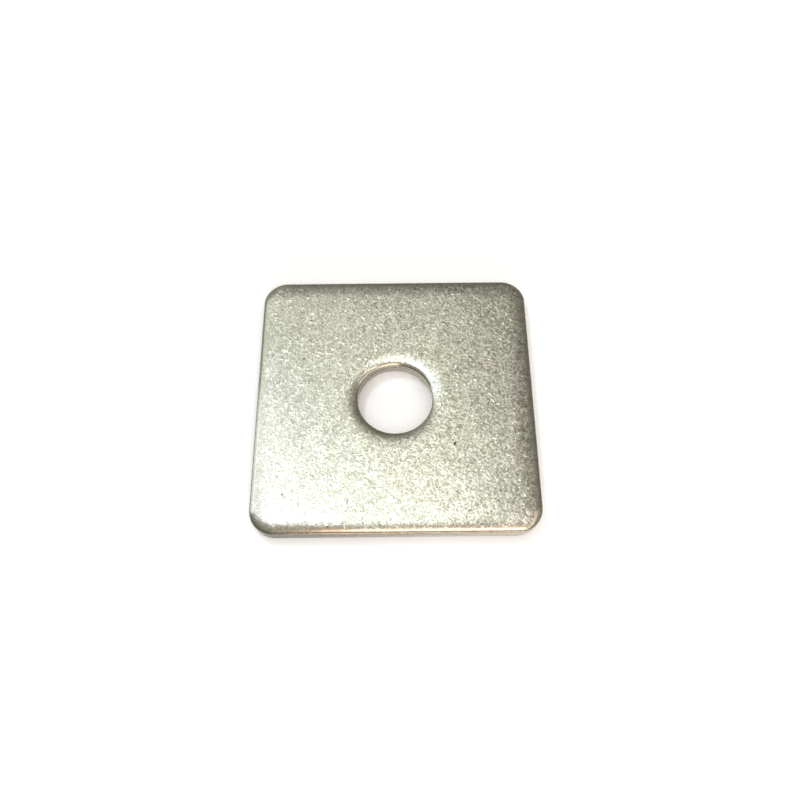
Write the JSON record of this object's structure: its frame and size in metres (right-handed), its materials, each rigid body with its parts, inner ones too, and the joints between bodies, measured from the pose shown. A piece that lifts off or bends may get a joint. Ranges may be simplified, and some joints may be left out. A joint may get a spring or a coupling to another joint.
{
  "type": "square plate washer",
  "caption": "Thick square plate washer with rounded corners, a round bolt hole and softly rolled top edges.",
  "frame": {"origin": "centre of the underside, on the axis of the bolt hole", "axes": "+Z along the axis of the bolt hole, from the underside to the face with the rolled edges; X and Y along the sides of the square"},
  "size_m": [0.05, 0.05, 0.003],
  "materials": {
    "stainless_steel": "tumbled satin stainless steel with a fine pebbled grain and polished edge rolls"
  },
  "bodies": {
    "root": {"washer_plate": "stainless_steel"}
  },
  "joints": []
}
